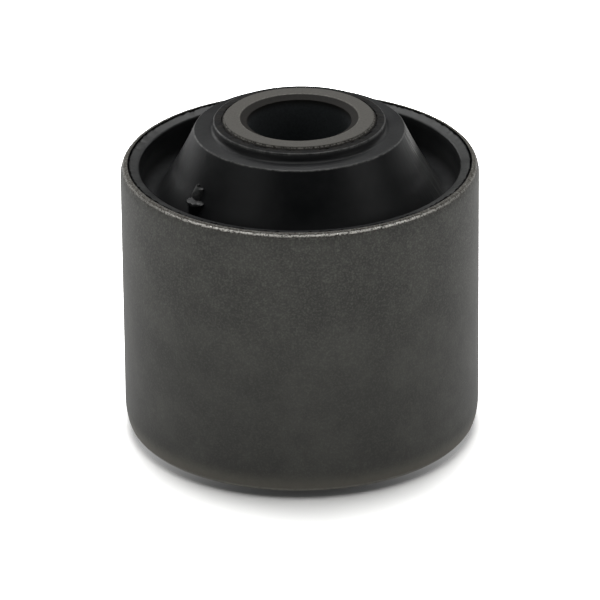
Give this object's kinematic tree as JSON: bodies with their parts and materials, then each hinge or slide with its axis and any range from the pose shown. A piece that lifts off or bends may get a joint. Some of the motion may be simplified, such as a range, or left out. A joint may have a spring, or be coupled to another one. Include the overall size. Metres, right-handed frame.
{
  "type": "rubber metal bush",
  "caption": "Bonded rubber-metal suspension bush: thin steel outer sleeve, moulded rubber with annular grooves, and a thick steel inner sleeve with a bolt bore.",
  "frame": {"origin": "on the axis, at the lower end face of the inner sleeve, which the bush stands on", "axes": "+Z along the axis, towards the end where the inner sleeve stands proud; the gate mark lies at 217 degrees round Z from X"},
  "size_m": [0.056, 0.056, 0.0525],
  "materials": {
    "outer_steel": "dark grey phosphated, matt",
    "rubber": "black moulded, semi-matt",
    "inner_steel": "grey phosphated over a fine-turned face"
  },
  "bodies": {
    "root": {"outer_sleeve": "outer_steel", "rubber_body": "rubber", "inner_sleeve": "inner_steel"}
  },
  "joints": []
}
